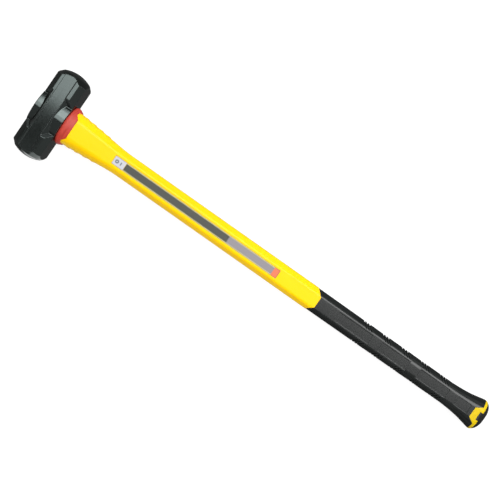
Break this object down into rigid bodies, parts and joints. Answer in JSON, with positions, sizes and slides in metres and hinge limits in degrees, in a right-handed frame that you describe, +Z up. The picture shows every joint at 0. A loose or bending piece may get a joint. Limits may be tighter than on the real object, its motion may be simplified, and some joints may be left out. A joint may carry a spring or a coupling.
{
  "type": "sledgehammer",
  "caption": "Long-handled sledgehammer with an octagonal steel head, a red overstrike collar, a yellow plastic-jacketed fibreglass handle and a flared dark rubber grip.",
  "frame": {"origin": "on the surface that the tool lies on, under the middle of its overall box", "axes": "+X from the head to the butt of the handle, +Y along the striking axis, +Z up from the surface; the tool lies on one cheek of its head"},
  "size_m": [0.9144, 0.1646, 0.0574],
  "materials": {
    "head_coating": "satin black coating on forged steel",
    "resin": "cast amber resin",
    "fibreglass": "ground end of pultruded fibreglass",
    "collar_plastic": "satin moulded red",
    "jacket_plastic": "smooth moulded yellow",
    "grip_rubber": "fine-grained charcoal overmould",
    "ring_plastic": "smooth moulded yellow",
    "cap_rubber": "smooth black",
    "label_film": "printed film in dark grey, light grey and orange with a white border",
    "sticker_film": "printed white film"
  },
  "bodies": {
    "root": {"hammer_head": "head_coating", "eye_resin": "resin", "fibreglass_core": "fibreglass", "overstrike_collar": "collar_plastic", "handle_jacket": "jacket_plastic", "grip_sleeve": "grip_rubber", "butt_ring": "ring_plastic", "butt_cap": "cap_rubber", "front_label": "label_film", "back_label": "label_film", "front_size_sticker": "sticker_film", "back_size_sticker": "sticker_film"}
  },
  "joints": []
}
